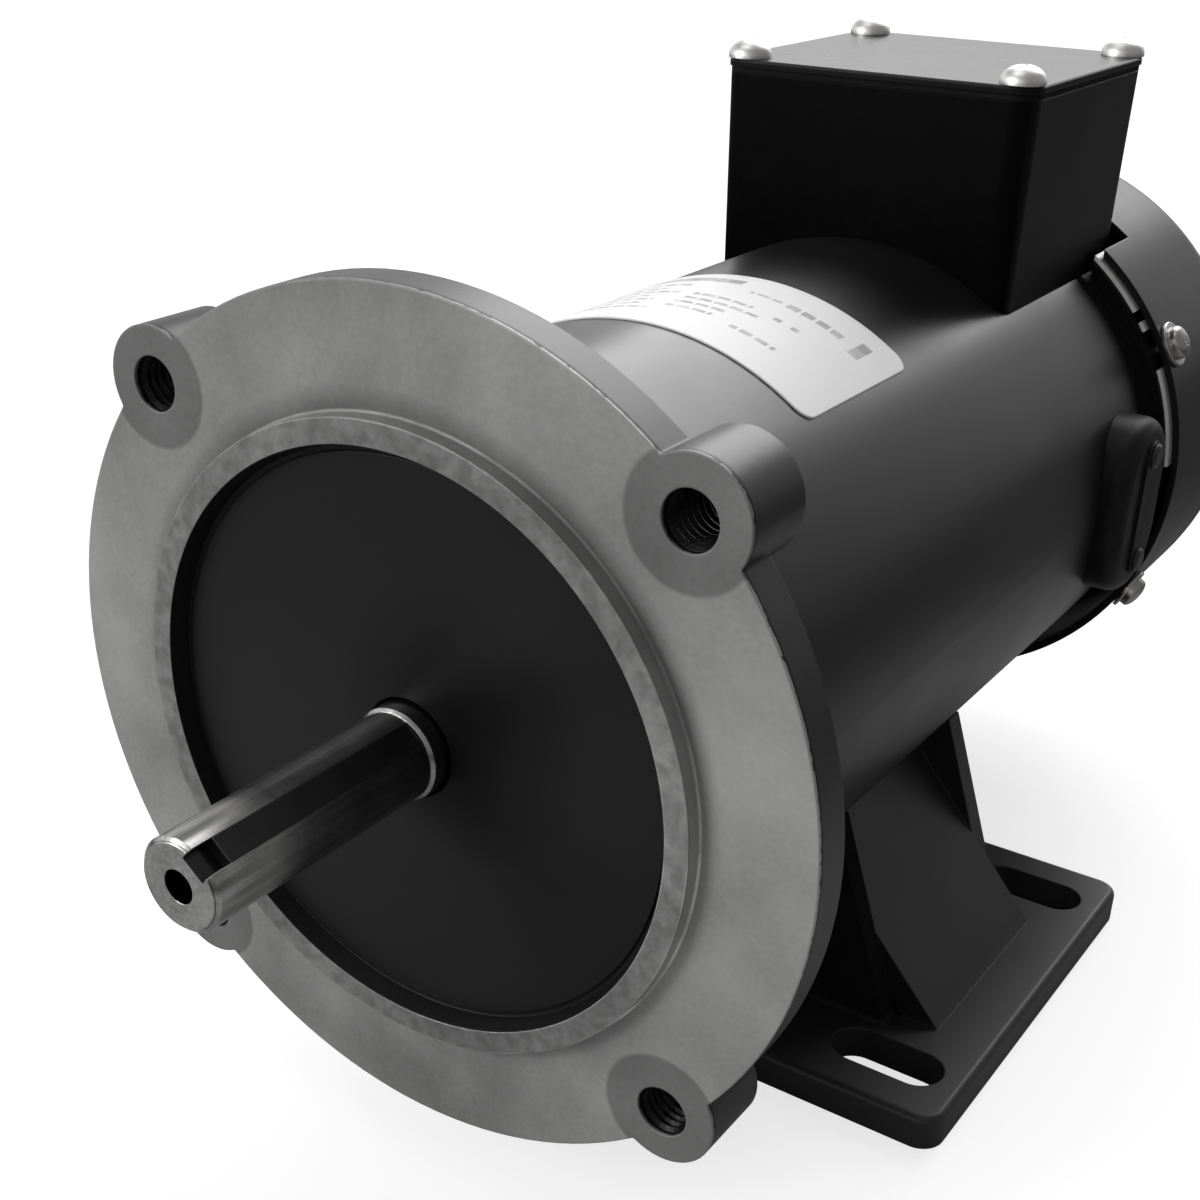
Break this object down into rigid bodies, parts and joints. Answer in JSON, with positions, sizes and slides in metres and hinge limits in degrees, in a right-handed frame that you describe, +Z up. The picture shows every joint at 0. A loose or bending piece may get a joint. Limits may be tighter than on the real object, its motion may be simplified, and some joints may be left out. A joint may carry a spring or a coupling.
{
  "type": "permanent magnet dc motor",
  "caption": "Tubular permanent magnet DC motor with a square-eared face flange, keyed shaft, conduit box, brush covers, fan cover and a slotted rigid base.",
  "frame": {"origin": "on the shaft axis in the plane of the mounting face", "axes": "+Y along the shaft axis from the mounting face towards the fan, +Z up towards the conduit box, +X to the right when seen from the fan end"},
  "size_m": [0.162, 0.3144, 0.183],
  "materials": {
    "cast_aluminium": "as cast",
    "black_paint": "satin",
    "steel_machined": "machined",
    "zinc_steel": "satin",
    "bearing_steel": "polished",
    "lamination_steel": "matte",
    "ferrite": "matte",
    "copper": "satin",
    "varnished_copper": "gloss",
    "label_film": "satin",
    "black_rubber": "matte",
    "black_plastic": "matte",
    "brown_phenolic": "matte",
    "carbon": "matte",
    "lead_insulation": "satin"
  },
  "bodies": {
    "stator": {"front_end_bell": "cast_aluminium", "motor_tube": "black_paint", "field_magnets": "ferrite", "nameplate": "label_film", "rear_end_bell": "black_paint", "through_bolts": "zinc_steel", "front_bearing_outer": "bearing_steel", "rear_bearing_outer": "bearing_steel", "shaft_seal": "black_rubber", "wave_washer": "zinc_steel", "brush_holders": "brown_phenolic", "brush_spring_right": "zinc_steel", "brush_spring_left": "zinc_steel", "brush_covers": "black_plastic", "brush_cover_screws": "zinc_steel", "fan_cover": "black_paint", "fan_cover_screws": "zinc_steel", "conduit_box": "black_paint", "conduit_box_gasket": "black_rubber", "conduit_box_lid": "black_paint", "lid_screws": "zinc_steel", "box_screws": "zinc_steel", "lead_grommet": "black_rubber", "earth_screw": "zinc_steel", "lead_wires": "lead_insulation", "foot_base": "black_paint"},
    "rotor": {"shaft": "steel_machined", "shaft_key": "steel_machined", "armature_core": "lamination_steel", "armature_windings": "varnished_copper", "commutator": "copper", "cooling_fan": "black_plastic", "fan_retaining_ring": "zinc_steel", "front_bearing_inner": "bearing_steel", "rear_bearing_inner": "bearing_steel"},
    "front_ball_set": {"front_bearing_balls": "bearing_steel"},
    "rear_ball_set": {"rear_bearing_balls": "bearing_steel"},
    "brush_right": {"brush_right": "carbon"},
    "brush_left": {"brush_left": "carbon"}
  },
  "joints": [
    {"name": "shaft_spin", "type": "hinge", "parent": "stator", "child": "rotor", "pos_m": [0, 0, 0], "axis": [0, 1, 0], "continuous": true},
    {"name": "front_balls_spin", "type": "hinge", "parent": "stator", "child": "front_ball_set", "pos_m": [0, 0.018, 0], "axis": [0, 1, 0], "continuous": true},
    {"name": "rear_balls_spin", "type": "hinge", "parent": "stator", "child": "rear_ball_set", "pos_m": [0, 0.211, 0], "axis": [0, 1, 0], "continuous": true},
    {"name": "brush_right_slide", "type": "slide", "parent": "stator", "child": "brush_right", "axis": [1, 0, 0], "range_m": [0, 0.006], "stiffness_N_per_m": 150, "springref_m": -0.02, "deforming": ["brush_spring_right"]},
    {"name": "brush_left_slide", "type": "slide", "parent": "stator", "child": "brush_left", "axis": [-1, 0, 0], "range_m": [0, 0.006], "stiffness_N_per_m": 150, "springref_m": -0.02, "deforming": ["brush_spring_left"]}
  ],
  "couplings": [
    {"joint": "front_balls_spin", "follows": "shaft_spin", "ratio": 0.3877},
    {"joint": "rear_balls_spin", "follows": "shaft_spin", "ratio": 0.3877}
  ]
}
